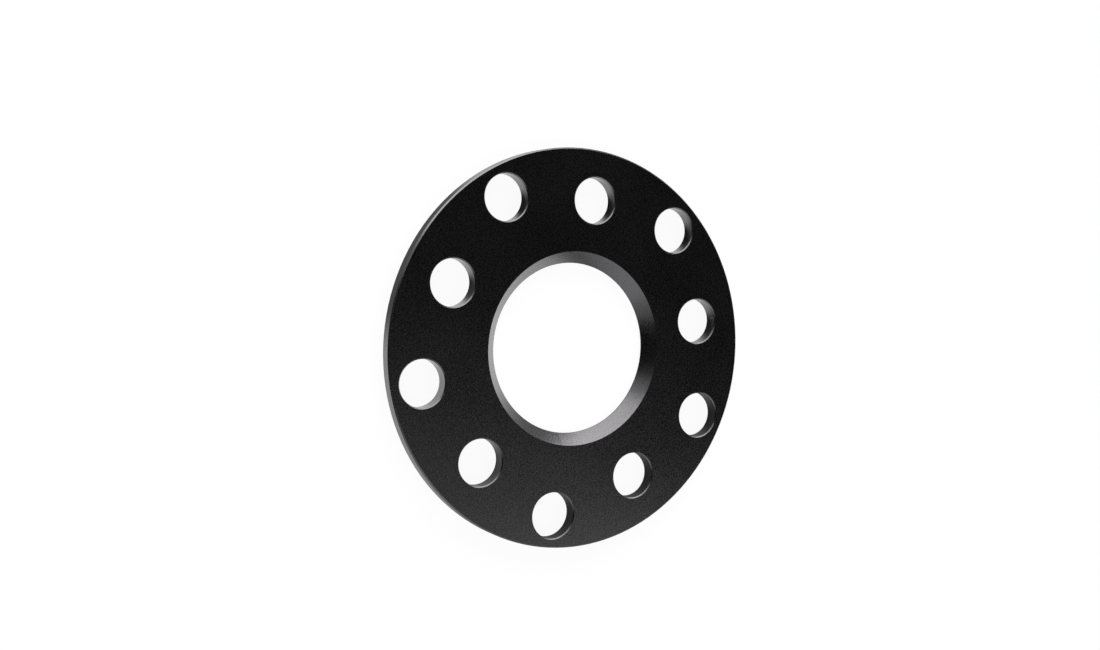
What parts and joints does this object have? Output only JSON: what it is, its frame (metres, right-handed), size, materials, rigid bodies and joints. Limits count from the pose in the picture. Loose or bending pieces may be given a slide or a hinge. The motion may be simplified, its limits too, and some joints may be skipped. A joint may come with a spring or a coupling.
{
  "type": "wheel spacer",
  "caption": "Flat round spacer with a central hub bore and interleaved bolt holes, clamped between a hub and its wheel to move the wheel outwards.",
  "frame": {"origin": "centre of the bore on the hub face, which is the flat face that the spacer lies on", "axes": "+Z along the bore's axis from the hub face to the wheel face, where the bore opens in a wide chamfer; +X through the centre of one hole on the wide bolt circle"},
  "size_m": [0.1336, 0.1336, 0.005],
  "materials": {
    "black_anodised_aluminium": "fine blasted satin, black anodised"
  },
  "bodies": {
    "root": {"wheel_spacer": "black_anodised_aluminium"}
  },
  "joints": []
}
